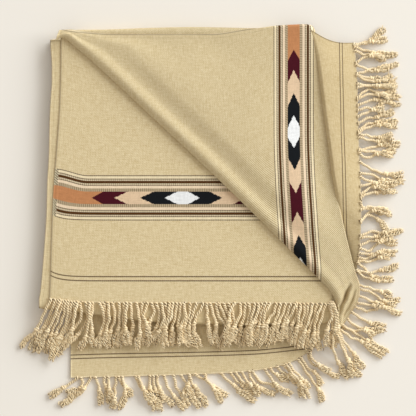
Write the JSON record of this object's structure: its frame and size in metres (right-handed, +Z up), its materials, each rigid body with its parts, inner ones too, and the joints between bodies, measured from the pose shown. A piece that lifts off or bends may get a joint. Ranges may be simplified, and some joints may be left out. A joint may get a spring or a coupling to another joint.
{
  "type": "wool shawl",
  "caption": "Folded wool shawl lying flat, one corner turned back over a soft roll, with a woven band of stripes and lozenges and twisted, knotted fringes.",
  "frame": {"origin": "on the surface that the shawl lies on, under the middle of its box, fringes included", "axes": "+Z up from the surface, +X towards the turned flap's hem, -Y towards the lower end and its fringe"},
  "size_m": [0.6688, 0.665, 0.0299],
  "materials": {
    "cloth": "sand-coloured wool twill, soft nap, with a woven band",
    "fringe": "twisted two-ply wool cord, knotted, with frayed tassels"
  },
  "bodies": {
    "root": {"folded_core": "cloth", "lower_end_panel": "cloth", "front_panel": "cloth", "turned_flap": "cloth", "flap_end_strip": "cloth", "front_fringe": "fringe", "flap_fringe": "fringe", "corner_fringe": "fringe", "lower_fringe": "fringe"}
  },
  "joints": []
}
